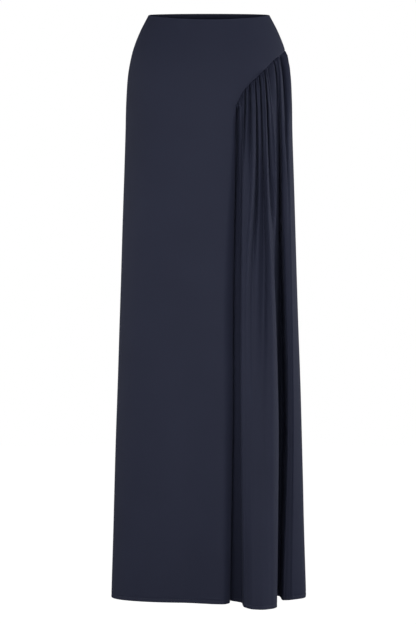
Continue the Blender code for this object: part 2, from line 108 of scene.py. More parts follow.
# The large folds of the gathered panel, a row for each line of cloth from seam to hem. Share is the line's
# place across the cloth; right and depth say where it lies at the five drops below.
FOLD_DROPS = (0.250, 0.340, 0.450, 0.750, HEM_DROP)
Fold = namedtuple("Fold", "name share right depth")
FOLDS = [
    Fold("groove seam", 0.000,
         (0.0490, 0.0470, 0.0447, 0.0425, 0.0355), (0.0800, 0.0720, 0.0640, 0.0560, 0.0300)),
    Fold("groove lip", 0.018,
         (0.0515, 0.0508, 0.0480, 0.0458, 0.0404), (0.0838, 0.0810, 0.0765, 0.0712, 0.0400)),
    Fold("groove", 0.040,
         (0.0552, 0.0552, 0.0552, 0.0545, 0.0538), (0.0880, 0.0870, 0.0830, 0.0790, 0.0500)),
    Fold("flank foot", 0.090,
         (0.0606, 0.0609, 0.0604, 0.0596, 0.0622), (0.0920, 0.0930, 0.0890, 0.0840, 0.0570)),
    Fold("flank", 0.150,
         (0.0628, 0.0614, 0.0602, 0.0594, 0.0630), (0.1045, 0.1060, 0.1030, 0.0985, 0.0730)),
    Fold("flank edge", 0.170,
         (0.0643, 0.0620, 0.0604, 0.0597, 0.0638), (0.1075, 0.1103, 0.1096, 0.1083, 0.0870)),
    Fold("plateau edge", 0.187,
         (0.0675, 0.0640, 0.0618, 0.0609, 0.0652), (0.1079, 0.1113, 0.1114, 0.1108, 0.0945)),
    Fold("plateau", 0.230,
         (0.0765, 0.0735, 0.0680, 0.0665, 0.0690), (0.1075, 0.1112, 0.1118, 0.1114, 0.1020)),
    Fold("shoulder", 0.287,
         (0.0850, 0.0825, 0.0750, 0.0733, 0.0765), (0.1078, 0.1100, 0.1108, 0.1106, 0.1130)),
    Fold("its fall", 0.298,
         (0.0870, 0.0844, 0.0776, 0.0767, 0.0805), (0.1020, 0.1015, 0.1060, 0.1099, 0.1175)),
    Fold("its valley", 0.306,
         (0.0885, 0.0860, 0.0800, 0.0800, 0.0862), (0.0950, 0.0885, 0.0985, 0.1090, 0.1195)),
    Fold("low ridge", 0.325,
         (0.0922, 0.0920, 0.0885, 0.0865, 0.0950), (0.1005, 0.0970, 0.1002, 0.1085, 0.1215)),
    Fold("low valley", 0.366,
         (0.0992, 0.1015, 0.1028, 0.1000, 0.1065), (0.0955, 0.0865, 0.0895, 0.1078, 0.1190)),
    Fold("slope", 0.398,
         (0.1030, 0.1062, 0.1090, 0.1110, 0.1150), (0.0985, 0.0995, 0.1005, 0.1088, 0.1130)),
    Fold("bright edge", 0.419,
         (0.1070, 0.1100, 0.1152, 0.1214, 0.1230), (0.0995, 0.1020, 0.1030, 0.1058, 0.1045)),
    Fold("its turn", 0.430,
         (0.1090, 0.1122, 0.1184, 0.1267, 0.1270), (0.0945, 0.0955, 0.0965, 0.0990, 0.0940)),
    Fold("behind it", 0.442,
         (0.1105, 0.1134, 0.1195, 0.1292, 0.1275), (0.0880, 0.0870, 0.0880, 0.0900, 0.0800)),
    Fold("next ridge", 0.464,
         (0.1195, 0.1215, 0.1215, 0.1290, 0.1265), (0.0915, 0.0915, 0.0740, 0.0660, 0.0520)),
    Fold("ledge", 0.525,
         (0.1240, 0.1250, 0.1248, 0.1275, 0.1262), (0.0830, 0.0780, 0.0580, 0.0360, 0.0240)),
    Fold("deep wall", 0.570,
         (0.1270, 0.1287, 0.1285, 0.1282, 0.1270), (0.0710, 0.0550, 0.0360, 0.0040, -0.0020)),
    Fold("floor left", 0.600,
         (0.1297, 0.1311, 0.1318, 0.1315, 0.1290), (0.0530, 0.0310, 0.0120, -0.0180, -0.0220)),
    Fold("deep floor", 0.622,
         (0.1312, 0.1326, 0.1345, 0.1388, 0.1325), (0.0420, 0.0140, -0.0040, -0.0280, -0.0300)),
    Fold("floor right", 0.642,
         (0.1336, 0.1350, 0.1384, 0.1452, 0.1364), (0.0520, 0.0320, 0.0100, -0.0180, -0.0180)),
    Fold("far wall", 0.658,
         (0.1354, 0.1364, 0.1397, 0.1467, 0.1379), (0.0680, 0.0560, 0.0400, 0.0100, 0.0020)),
    Fold("side left", 0.671,
         (0.1366, 0.1372, 0.1403, 0.1473, 0.1386), (0.0740, 0.0715, 0.0630, 0.0360, 0.0170)),
    Fold("side edge", 0.682,
         (0.1385, 0.1390, 0.1424, 0.1490, 0.1406), (0.0760, 0.0742, 0.0670, 0.0412, 0.0230)),
    Fold("plate edge", 0.702,
         (0.1420, 0.1448, 0.1465, 0.1515, 0.1440), (0.0780, 0.0762, 0.0684, 0.0425, 0.0240)),
    Fold("its foot", 0.728,
         (0.1437, 0.1466, 0.1486, 0.1535, 0.1470), (0.0710, 0.0733, 0.0682, 0.0432, 0.0250)),
    Fold("side plate", 0.795,
         (0.1470, 0.1495, 0.1519, 0.1573, 0.1537), (0.0703, 0.0722, 0.0670, 0.0436, 0.0257)),
    Fold("side ridge", 0.860,
         (0.1502, 0.1524, 0.1550, 0.1610, 0.1600), (0.0685, 0.0700, 0.0650, 0.0435, 0.0255)),
    Fold("side round", 0.936,
         (0.1566, 0.1597, 0.1634, 0.1740, 0.1820), (0.0450, 0.0430, 0.0370, 0.0220, 0.0100)),
]
GATHERED_WIDTH = 0.445      # width of the gathered cloth before it is gathered
GROOVE_DEPTH = 0.009        # how much deeper the groove is just below the corner
GROOVE_START = 0.016        # distance below the corner over which it reaches that depth
GROOVE_LENGTH = 0.100       # distance over which the extra depth fades again
GROOVE_SHARE = 0.080        # how much of the gathered cloth's width it takes

# The gathers under the slanted seam. Each crest has its place across the cloth, its height and its reach
# down it; one of them is a broad hollow, with a height below 0. Valley is where the cloth is lowest before
# the next crest, from 0 at this crest to 1 at the next. Dip is how far down it goes there, as a share of
# the height: a small dip joins two crests into one flat fold.
Gather = namedtuple("Gather", "share height reach valley dip")
GATHERS = [
    Gather(0.000, 0.0000, 0.05, 0.50, 1.0),
    Gather(0.043, 0.0150, 0.18, 0.50, 0.1),
    Gather(0.143, 0.0170, 0.20, 0.60, 1.0),
    Gather(0.190, 0.0190, 0.17, 0.72, 1.0),
    Gather(0.252, 0.0160, 0.24, 0.50, 0.1),
    Gather(0.292, 0.0200, 0.28, 0.46, 1.0),
    Gather(0.317, 0.0150, 0.26, 0.50, 0.1),
    Gather(0.348, 0.0160, 0.26, 0.48, 1.0),
    Gather(0.384, 0.0190, 0.28, 0.50, 0.1),
    Gather(0.424, 0.0250, 0.28, 0.42, 1.0),
    Gather(0.452, 0.0230, 0.28, 0.40, 0.6),
    Gather(0.487, -0.0220, 0.17, 0.50, 0.0),
    Gather(0.578, 0.0190, 0.14, 0.42, 1.0),
    Gather(0.622, 0.0150, 0.20, 0.50, 0.1),
    Gather(0.662, 0.0230, 0.24, 0.30, 1.3),
    Gather(0.855, 0.0140, 0.20, 0.60, 1.2),
    Gather(0.950, 0.0040, 0.18, 0.50, 1.6),
    Gather(1.000, 0.0000, 0.05, 0.50, 1.0),
]
GATHER_START = 0.008        # distance below the seam over which a gather reaches its height
GATHER_AT_SEAM = 0.05       # share of that height that it has in the seam itself
CREST_SHARE = 0.35          # share of its height by which a gather's crest stands in front of the body
GATHER_TURN = 0.60          # place across the cloth from which the gathers turn towards the side
VALLEY_ROUNDNESS = 0.14     # 0 would crease the cloth sharply between two gathers
PUCKER_WIDTH = 0.0052       # the smallest puckers, in the stitching of the gathered seam
PUCKER_HEIGHT = 0.0040
PUCKER_LENGTH = 0.032
PUCKER_START = 0.003        # distance below the seam over which a pucker reaches its height
PUCKER_DRIFTS = 14.0        # how often across the seam the puckers drift closer together or apart
PUCKER_DRIFT = 2.0          # how far they drift, in radians of their wave
SEAM_TUCK = 0.0028          # how far the gathered cloth lies behind the yoke, in the seam
TUCK_LENGTH = 0.004         # distance below the seam over which it comes out again

# The soft folds of the back: place from the right side seam (0) to the left (1), width, height at the hem,
# and the drop where it starts.
BackFold = namedtuple("BackFold", "place width height start")
BACK_FOLDS = [
    BackFold(0.15, 0.16, 0.012, 0.30),
    BackFold(0.34, 0.15, 0.009, 0.42),
    BackFold(0.53, 0.17, 0.013, 0.24),
    BackFold(0.71, 0.14, 0.008, 0.46),
    BackFold(0.87, 0.13, 0.007, 0.36),
]

# Soft creases, each from its top to its bottom: positive heights are ridges and negative ones troughs.
Crease = namedtuple("Crease", "top_x top_drop bottom_x bottom_drop width height")
FRONT_CREASES = [
    Crease(-0.060, 0.42, -0.085, 1.16, 0.050, 0.0012),
    Crease(-0.010, 0.55, -0.012, 1.20, 0.045, -0.0012),
    Crease(0.022, 0.30, 0.010, 0.80, 0.030, 0.0008),
    Crease(-0.120, 0.30, -0.140, 1.18, 0.035, -0.0008),
]
BACK_CREASES = [
    Crease(0.055, 0.16, 0.030, 0.62, 0.026, 0.0018),
    Crease(-0.040, 0.20, -0.058, 0.74, 0.030, -0.0018),
    Crease(0.100, 0.40, 0.118, 1.16, 0.030, -0.0022),
    Crease(-0.102, 0.36, -0.120, 1.16, 0.028, 0.0020),
    Crease(0.004, 0.60, -0.006, 1.20, 0.032, -0.0020),
]
GATHERED_CREASES = [
    Crease(0.0535, 0.167, 0.0615, 0.182, 0.0032, 0.0022),
]
UNEVENNESS = 0.0005         # height of the cloth's soft, irregular swells
SWELL_SIZE = 0.060
SWELL_STRETCH = 0.4         # below 1, the swells are longer down the skirt than across it

# Turned and sewn edges.
HEM_TURN = 0.009
WAIST_TURN = 0.010
SEAM_ALLOWANCE = 0.007
ROLL_RADIUS = 0.00055       # how tightly the cloth rolls at a turned edge
ROLL_STEPS = 4
FOLD_ROWS = (0.3, 1.0)      # where the straight part of a turned edge has its rows, as shares of its width
SEAM_CLEARANCE = 0.00045    # from the middle of the cloth to the middle of a seam
GROOVE_CLEARANCE = 0.0009   # the same in the narrow groove
EDGE_TRIM = 0.0016          # how much shorter a turned hem is than its panel, at each end
ALLOWANCE_SETBACK = 0.0045  # how far the gathered seam allowance stays away from the side seam and the corner
YOKE_END_ROWS = 8           # rows of the yoke above the slanted seam whose side edge has no allowance left
GROOVE_INNER_COLUMNS = 8    # columns from the groove's seam to the cloth that tells which way it runs
GROOVE_STEPS = 12           # samples of the front from its seam to where its direction in the groove is taken
GROOVE_NEAR_SHARE = 0.012   # the gathered cloth's share where its direction in the groove is taken
EDGE_WEAR = 0.6             # how far a turned edge has faded towards the worn colour
WEAR_FADE = 0.3             # how much less each further row of the turned cloth has faded

# The row of stitches round the hem.
STITCH_LINE = 0.0062        # height of the hem's row of stitches above its edge
STITCH_LENGTH = 0.0026
STITCH_PITCH = 0.0034
STITCH_WIDTH = 0.00042
STITCH_DIP = 0.00035        # how far the stitches draw the cloth in
STITCH_DIP_WIDTH = 0.0024
STITCH_OUTSIDE = 0.00036    # from the middle of the cloth to the stitches on its outside and on its inside
STITCH_INSIDE = -0.00150
STITCH_MERGE = 0.00002      # points of the thread this close together are one
HEM_PUCKER = 0.0005         # height, width and length of the soft puckers along the hem
HEM_PUCKER_WIDTH = 0.011
HEM_PUCKER_LENGTH = 0.022
StitchPoint = namedtuple("StitchPoint", "along lift")   # shares of the stitch's length and of its width
STITCH_SHAPE = [
    StitchPoint(0.00, -1.1),
    StitchPoint(0.12, 0.1),
    StitchPoint(0.50, 0.3),
    StitchPoint(0.88, 0.1),
    StitchPoint(1.00, -1.1),
]

# ---------------------------------------------------------------- mesh densities
ROWS_ABOVE_CORNER = 40
ROWS_BELOW_SEAM = 110
ROW_GROWTH = 1.45           # above 1, the rows stand closer together towards the seam
HEM_ROWS = (0.0140, 0.0112, 0.0090, 0.0074, 0.0062, 0.0050, 0.0034, 0.0016, 0.0)    # heights above the hem
STITCH_ROW = HEM_ROWS.index(STITCH_LINE) - len(HEM_ROWS)
ALLOWANCE_ROWS = 4
FRONT_COLUMNS = 110
FRONT_CROWDING = 1.6        # above 1, the columns stand closer together towards the groove
YOKE_COLUMNS = 70
GATHERED_COLUMNS = 340
BACK_COLUMNS = 120
BACK_ROWS = 130
SAMPLES = 240               # points on a curve whose length is measured
NORMAL_STEP = 0.01          # radians round the body and metres down it over which its direction is taken

# ---------------------------------------------------------------- photograph and camera
PHOTO_HEIGHT = 624
PIXEL = 0.0019              # size of a photograph pixel at the origin's depth
CAMERA_PLACE = Vector((-0.0019, -4.5, -0.35))
AIM_HEIGHT = -0.5609
SENSOR_HEIGHT = 36.0        # the camera's, in millimetres
FLOOR_SIZE = 14.0
FLOOR_PLACE = (0.0, 2.0, -1.75)
WORLD_LIGHT = 0.01          # what the white background adds to the softboxes

Softbox = namedtuple("Softbox", "name angle distance height power")
SOFTBOXES = [
    Softbox("right_softbox", 90.0, 2.2, -0.35, 27.5),
    Softbox("front_right_softbox", 35.0, 2.3, -0.30, 8.0),
    Softbox("front_softbox", 4.0, 2.1, -0.30, 22.5),
    Softbox("front_left_softbox", -26.0, 2.1, -0.30, 13.0),
    Softbox("left_softbox", -90.0, 2.2, -0.35, 14.5),
    Softbox("back_right_softbox", 130.0, 2.2, -0.35, 5.0),
    Softbox("back_left_softbox", -130.0, 2.2, -0.35, 2.8),
]
SOFTBOX_SIZE = 1.6
SOFTBOX_AIM = Vector((0.0, 0.0, -0.50))


# ---------------------------------------------------------------- curves
def smooth_step(value):
    """0 below 0, 1 above 1, and a soft S between."""
    clamped = min(1.0, max(0.0, value))
    return clamped * clamped * (3.0 - 2.0 * clamped)


def soft_hump(off):
    """1 in the middle, where off is 0, and softly down to 0 where off is 1."""
    return 0.5 + 0.5 * cos(pi * min(1.0, off))


def slope_at(knots, values, index):
    """The slope of a smooth curve through the values, at one of its knots."""
    last = len(knots) - 1
    if index == 0:
        return (values[1] - values[0]) / (knots[1] - knots[0])
    if index == last:
        return (values[last] - values[last - 1]) / (knots[last] - knots[last - 1])
    before = knots[index] - knots[index - 1]
    after = knots[index + 1] - knots[index]
    slope_before = (values[index] - values[index - 1]) / before
    slope_after = (values[index + 1] - values[index]) / after
    return (slope_before * after + slope_after * before) / (before + after)


def smooth_curve(knots, values, at):
    """The value, a number or a Vector, of a smooth curve through the values at their knots."""
    index = 0
    while index < len(knots) - 2 and at > knots[index + 1]:
        index += 1
    span = knots[index + 1] - knots[index]
    t = (at - knots[index]) / span
    start_slope = slope_at(knots, values, index) * span
    end_slope = slope_at(knots, values, index + 1) * span
    return (
        values[index] * (2.0 * t ** 3 - 3.0 * t ** 2 + 1.0)
        + start_slope * (t ** 3 - 2.0 * t ** 2 + t)
        + values[index + 1] * (3.0 * t ** 2 - 2.0 * t ** 3)
        + end_slope * (t ** 3 - t ** 2)
    )


def table_value(rows, column, drop):
    """One column of a table of rows, at any drop."""
    knots = [row.drop for row in rows]
    values = [getattr(row, column) for row in rows]
    return smooth_curve(knots, values, drop)


def lengths_along(points):
    """The distance of each point from the first, along the line of points."""
    lengths = [0.0]
    for start, end in zip(points, points[1:]):
        lengths.append(lengths[-1] + (end - start).length)
    return lengths


def points_by_length(points, shares):
    """Points at given shares of the length of a line of points."""
    lengths = lengths_along(points)
    found = []
    index = 0
    for share in shares:
        wanted = share * lengths[-1]
        while index < len(points) - 2 and lengths[index + 1] < wanted:
            index += 1
        span = lengths[index + 1] - lengths[index]
        found.append(points[index].lerp(points[index + 1], (wanted - lengths[index]) / span))
    return found


# ---------------------------------------------------------------- the body of the skirt
def rounded_power(value, squareness):
    """A sine or cosine reshaped so that the section is a little squarer than an ellipse."""
    sign = 1.0 if value >= 0.0 else -1.0
    return sign * abs(value) ** (2.0 / squareness)


def body_point(girth, drop):
    """The point of the body of the skirt at a girth and a drop."""
    squareness = table_value(SECTIONS, "squareness", drop)
    side = "front" if cos(girth) >= 0.0 else "back"
    right = table_value(SECTIONS, "half_width", drop) * rounded_power(sin(girth), squareness)
    depth = table_value(SECTIONS, side, drop) * rounded_power(cos(girth), squareness)
    return Vector((right, -depth, -drop))


def body_normal(girth, drop):
    """The outward direction of the body of the skirt."""
    across = body_point(girth + NORMAL_STEP, drop) - body_point(girth - NORMAL_STEP, drop)
    down = body_point(girth, drop + NORMAL_STEP) - body_point(girth, drop - NORMAL_STEP)
    return down.cross(across).normalized()


def waist_drop(girth):
    """The waist edge is level at the sides, dips in front and rises at the back."""
    facing = cos(girth)
    if facing >= 0.0:
        return WAIST_FRONT_DIP * facing ** FRONT_DIP_POWER
    return -WAIST_BACK_RISE * (-facing) ** BACK_RISE_POWER


def drop_from_waist(girth, bottom, share):
    """The drop at a share of the way from the waist edge down to the bottom."""
    waist = waist_drop(girth)
    return waist + (bottom - waist) * share


def rows_between(top, bottom, rows, growth=1.0):
    """The drops of the rows from the top to the hem, with close rows along the hem for its stitching."""
    height = bottom - HEM_ROWS[0] - top
    drops = [top + height * (row / rows) ** growth for row in range(rows)]
    return drops + [bottom - above for above in HEM_ROWS]


def crease_height(creases, x, drop):
    """How far the soft creases lift or lower the cloth at a place of a panel."""
    height = 0.0
    for crease in creases:
        along = (drop - crease.top_drop) / (crease.bottom_drop - crease.top_drop)
        if 0.0 < along < 1.0:
            middle = crease.top_x + (crease.bottom_x - crease.top_x) * along
            height += crease.height * sin(pi * along) * soft_hump(abs(x - middle) / crease.width)
    return height


def hem_relief(above_hem, place):
    """The dip along the hem's row of stitches, and the soft puckers that it draws into the hem."""
    dip = STITCH_DIP * soft_hump(abs(above_hem - STITCH_LINE) / STITCH_DIP_WIDTH)
    pucker = noise.noise(Vector((place / HEM_PUCKER_WIDTH, 0.0, 0.0)))
    return HEM_PUCKER * pucker * soft_hump(above_hem / HEM_PUCKER_LENGTH) - dip


def swell(point):
    """The cloth's soft, irregular swells."""
    return UNEVENNESS * noise.noise(Vector((point.x, point.y, point.z * SWELL_STRETCH)) / SWELL_SIZE)


def level_hem(_across):
    """The hem of the front and the back is at one drop all the way across."""
    return HEM_DROP


def raise_cloth(panel, creases, hem_drop):
    """Adds the creases, the swells and the relief along the hem, each straight out of the cloth."""
    normals = panel.normals()
    for index, point in enumerate(panel.points):
        across = panel.flat[index][0]
        height = crease_height(creases, point.x, -point.z) + swell(point)
        height += hem_relief(hem_drop(across) + point.z, across)
        panel.points[index] = point + normals[index] * height


# ---------------------------------------------------------------- the gathered panel
def measured_seam():
    """The slanted seam as rows of its share of the seam's length, its girth and its drop."""
    knots = [point.girth for point in GATHER_SEAM]
    drops = [point.drop for point in GATHER_SEAM]
    girths = [knots[0] + (knots[-1] - knots[0]) * index / SAMPLES for index in range(SAMPLES + 1)]
    seam = [(girth, smooth_curve(knots, drops, girth)) for girth in girths]
    lengths = lengths_along([body_point(girth, drop) for girth, drop in seam])
    return [(length / lengths[-1], girth, drop) for length, (girth, drop) in zip(lengths, seam)]


MEASURED_SEAM = measured_seam()
GATHER_SEAM_LENGTH = lengths_along([body_point(girth, drop) for _, girth, drop in MEASURED_SEAM])[-1]


def seam_place(share):
    """The girth and drop of the slanted seam at a share of its length."""
    shares = [row[0] for row in MEASURED_SEAM]
    girths = [row[1] for row in MEASURED_SEAM]
    drops = [row[2] for row in MEASURED_SEAM]
    return smooth_curve(shares, girths, share), smooth_curve(shares, drops, share)


def fold_offset(share, level):
    """How far the large folds carry a line of cloth off the body, at one of the fold drops."""
    drop = FOLD_DROPS[level]
    side = body_point(SIDE_SEAM, drop)
    shares = [fold.share for fold in FOLDS] + [1.0]
    right = smooth_curve(shares, [fold.right[level] for fold in FOLDS] + [side.x], share)
    depth = smooth_curve(shares, [fold.depth[level] for fold in FOLDS] + [-side.y], share)
    girth, _ = seam_place(share)
    return Vector((right, -depth, -drop)) - body_point(girth, drop)


def groove_offset(share, below_corner):
    """The extra depth of the groove just below the corner, where the seam is pulled in."""
    rise = smooth_step(below_corner / GROOVE_START)
    fade = 1.0 - smooth_step((below_corner - GROOVE_START) / GROOVE_LENGTH)
    across = 1.0 - smooth_step(share / GROOVE_SHARE)
    return Vector((0.0, GROOVE_DEPTH * rise * fade * across, 0.0))


def large_fold_line(share, drops):
    """A line of the gathered panel's cloth, without its small gathers."""
    girth, seam_drop = seam_place(share)
    knots = [seam_drop] + list(FOLD_DROPS)
    offsets = [Vector((0.0, 0.0, 0.0))] + [fold_offset(share, level) for level in range(len(FOLD_DROPS))]
    points = []
    for drop in drops:
        fold = smooth_curve(knots, offsets, max(drop, seam_drop))
        points.append(body_point(girth, drop) + fold + groove_offset(share, drop - CORNER.drop))
    return points


def gathered_hem(share):
    """The drop of the gathered panel's hem, which sags between its two seams."""
    return HEM_DROP + GATHERED_SAG * max(0.0, sin(pi * share ** SAG_LEAN)) ** SAG_FULLNESS


def sagging_hem(across):
    """The drop of the gathered panel's hem at a length across its flat cloth."""
    return gathered_hem(min(1.0, max(0.0, across / GATHERED_WIDTH)))


Column = namedtuple("Column", "share left right place")


def gather_columns():
    """Each column's share of the cloth, with the two gathers it lies between and its place between them."""
    columns = []
    for left, right in zip(GATHERS, GATHERS[1:]):
        steps = round((right.share - left.share) * GATHERED_COLUMNS)
        for step in range(steps):
            place = step / steps
            columns.append(Column(left.share + (right.share - left.share) * place, left, right, place))
    columns.append(Column(1.0, GATHERS[-2], GATHERS[-1], 1.0))
    return columns


def gather_height(gather, below_seam):
    """A gather's height: it grows just below the seam and fades out at the end of its reach."""
    growth = GATHER_AT_SEAM + (1.0 - GATHER_AT_SEAM) * smooth_step(below_seam / GATHER_START)
    return gather.height * growth * soft_hump(abs(below_seam) / gather.reach)


def gather_wave(column):
    """The section of the cloth from one gather's crest to the next: round crests and a tighter valley."""
    valley = column.left.valley
    if column.place < valley:
        turn = 0.5 * column.place / valley
    else:
        turn = 0.5 + 0.5 * (column.place - valley) / (1.0 - valley)
    ridge = sqrt(cos(pi * turn) ** 2 + VALLEY_ROUNDNESS ** 2) - VALLEY_ROUNDNESS
    ridge /= sqrt(1.0 + VALLEY_ROUNDNESS ** 2) - VALLEY_ROUNDNESS
    return CREST_SHARE - (1.0 - ridge) * column.left.dip


def pucker_height(share, below_seam):
    """The smallest puckers, which the gathered seam draws inwards."""
    seam_length = share * GATHER_SEAM_LENGTH
    drift = PUCKER_DRIFT * noise.noise(Vector((share * PUCKER_DRIFTS, 0.0, 0.0)))
    wave = sin(2.0 * pi * seam_length / PUCKER_WIDTH + drift)
    fade = smooth_step(below_seam / PUCKER_START) * soft_hump(abs(below_seam) / PUCKER_LENGTH)
    return PUCKER_HEIGHT * 0.5 * (wave - 1.0) * fade


def gathered_drops(share):
    """The drops of a column's points, from the top of its seam allowance under the yoke to the hem."""
    seam_drop = seam_place(share)[1]
    allowance = [seam_drop - SEAM_ALLOWANCE * (1.0 - row / ALLOWANCE_ROWS) for row in range(ALLOWANCE_ROWS)]
    return allowance + rows_between(seam_drop, gathered_hem(share), ROWS_BELOW_SEAM, ROW_GROWTH)


def gathered_grid():
    """Rows of points of the gathered panel, from its seam allowance to the hem."""
    columns = gather_columns()
    drops = [gathered_drops(column.share) for column in columns]
    lines = [large_fold_line(column.share, line_drops) for column, line_drops in zip(columns, drops)]
    last = len(columns) - 1
    grid = []
    for row in range(len(drops[0])):
        points = []
        for index, column in enumerate(columns):
            sideways = smooth_step((column.share - GATHER_TURN) / (1.0 - GATHER_TURN))
            along = lines[min(last, index + 1)][row] - lines[max(0, index - 1)][row]
            outward = Vector((along.y, -along.x, 0.0)).normalized()
            lifted = Vector((0.0, -1.0, 0.0)).lerp(outward, sideways).normalized()
            below_seam = drops[index][row] - drops[index][ALLOWANCE_ROWS]
            left = gather_height(column.left, below_seam) * (1.0 - column.place)
            right = gather_height(column.right, below_seam) * column.place
            height = (left + right) * gather_wave(column)
            tuck = SEAM_TUCK * (1.0 - smooth_step(below_seam / TUCK_LENGTH))
            small = pucker_height(column.share, below_seam) - tuck
            points.append(lines[index][row] + lifted * height + outward * small)
        grid.append(points)
    return grid


# ---------------------------------------------------------------- the front and the back
def front_section(drop):
    """A section of the front below the corner, from the left side seam to the seam in the groove."""
    edge_x = table_value(FRONT_EDGE, "edge_x", drop)
    roll = table_value(FRONT_EDGE, "roll", drop)
    swing = table_value(FRONT_EDGE, "swing", drop)
    flat_end = edge_x - roll
    points = []
    for index in range(SAMPLES):
        girth = -SIDE_SEAM + (CORNER.girth + SIDE_SEAM) * index / SAMPLES
        point = body_point(girth, drop)
        point.y -= swing * smooth_step((point.x - flat_end + SWING_WIDTH) / SWING_WIDTH)
        if point.x > flat_end:
            break
        points.append(point)
    seam = large_fold_line(0.0, [drop])[0]
    start = points[-1]
    turn = Vector((edge_x, start.y + roll, -drop))
    wall_x = edge_x + (seam.x - edge_x) * GROOVE_WALL_LEAN
    wall_y = turn.y + (seam.y - turn.y) * GROOVE_WALL_MIDDLE
    wall = Vector((wall_x, wall_y, -drop))
    foot = seam - Vector((GROOVE_GAP, 0.0, 0.0))
    corners = [points[-2], start, turn, wall, foot]
    knots = lengths_along(corners)
    for index in range(1, SAMPLES + 1):
        at = knots[1] + (knots[-1] - knots[1]) * index / SAMPLES
        points.append(smooth_curve(knots, corners, at))
    return points


def crowded(count):
    """Shares from 0 to 1 that stand closer together towards 1."""
    return [1.0 - (1.0 - index / count) ** FRONT_CROWDING for index in range(count + 1)]


def front_row_above(share):
    """A row of the front above the corner, from the left side seam to the corner's girth."""
    points = []
    for index in range(SAMPLES + 1):
        girth = -SIDE_SEAM + (CORNER.girth + SIDE_SEAM) * index / SAMPLES
        points.append(body_point(girth, drop_from_waist(girth, CORNER.drop, share)))
    return points_by_length(points, crowded(FRONT_COLUMNS))


def front_grid():
    """Rows of the front from the waist to the hem, left of the corner."""
    grid = [front_row_above(row / ROWS_ABOVE_CORNER) for row in range(ROWS_ABOVE_CORNER + 1)]
    for drop in rows_between(CORNER.drop, HEM_DROP, ROWS_BELOW_SEAM, ROW_GROWTH)[1:]:
        grid.append(points_by_length(front_section(drop), crowded(FRONT_COLUMNS)))
    return grid


def yoke_grid():
    """Rows of the hip yoke, from the waist to the slanted seam, right of the corner."""
    places = [seam_place(column / YOKE_COLUMNS) for column in range(YOKE_COLUMNS + 1)]
    grid = []
    for row in range(ROWS_ABOVE_CORNER + 1):
        share = row / ROWS_ABOVE_CORNER
        grid.append([body_point(girth, drop_from_waist(girth, bottom, share)) for girth, bottom in places])
    return grid


def back_fold_height(place, drop):
    """How far the soft folds of the back lift the cloth."""
    height = 0.0
    for fold in BACK_FOLDS:
        growth = smooth_step((drop - fold.start) / (HEM_DROP - fold.start))
        height += fold.height * growth * soft_hump(abs(place - fold.place) / fold.width)
    return height


def back_grid():
    """Rows of the back from the waist to the hem, from the right side seam to the left."""
    grid = []
    for share in [drop / HEM_DROP for drop in rows_between(0.0, HEM_DROP, BACK_ROWS)]:
        points = []
        for column in range(BACK_COLUMNS + 1):
            place = column / BACK_COLUMNS
            girth = SIDE_SEAM + (2.0 * pi - 2.0 * SIDE_SEAM) * place
            drop = drop_from_waist(girth, HEM_DROP, share)
            point = body_point(girth, drop)
            height = back_fold_height(place, drop) + crease_height(BACK_CREASES, point.x, drop)
            points.append(point + body_normal(girth, drop) * height)
        grid.append(points)
    return grid


# ---------------------------------------------------------------- panels of cloth
Turn = namedtuple("Turn", "beyond inside")


def rolled_edge(angle, width):
    """An edge that rolls through the angle and then runs straight on for the width."""
    turns = []
    for step in range(1, ROLL_STEPS + 1):
        bend = angle * step / ROLL_STEPS
        turns.append(Turn(ROLL_RADIUS * sin(bend), ROLL_RADIUS * (1.0 - cos(bend))))
    end = turns[-1]
    for share in FOLD_ROWS:
        turns.append(Turn(end.beyond + width * share * cos(angle), end.inside + width * share * sin(angle)))
    return turns


SEAM_FIN = rolled_edge(radians(90.0), SEAM_ALLOWANCE)   # a seam's allowance stands straight in
YOKE_FOLD = rolled_edge(pi, SEAM_ALLOWANCE)             # the other edges fold right back
HEM_FOLD = rolled_edge(pi, HEM_TURN)
WAIST_FOLD = rolled_edge(pi, WAIST_TURN)
SEAM_SETBACK = ROLL_RADIUS + SEAM_CLEARANCE             # how far a panel's border stands off the seam
GROOVE_SETBACK = ROLL_RADIUS + GROOVE_CLEARANCE


def select_only(piece):
    """Makes the piece the only one that the next operators work on."""
    bpy.ops.object.select_all(action="DESELECT")
    piece.select_set(True)
    bpy.context.view_layer.objects.active = piece


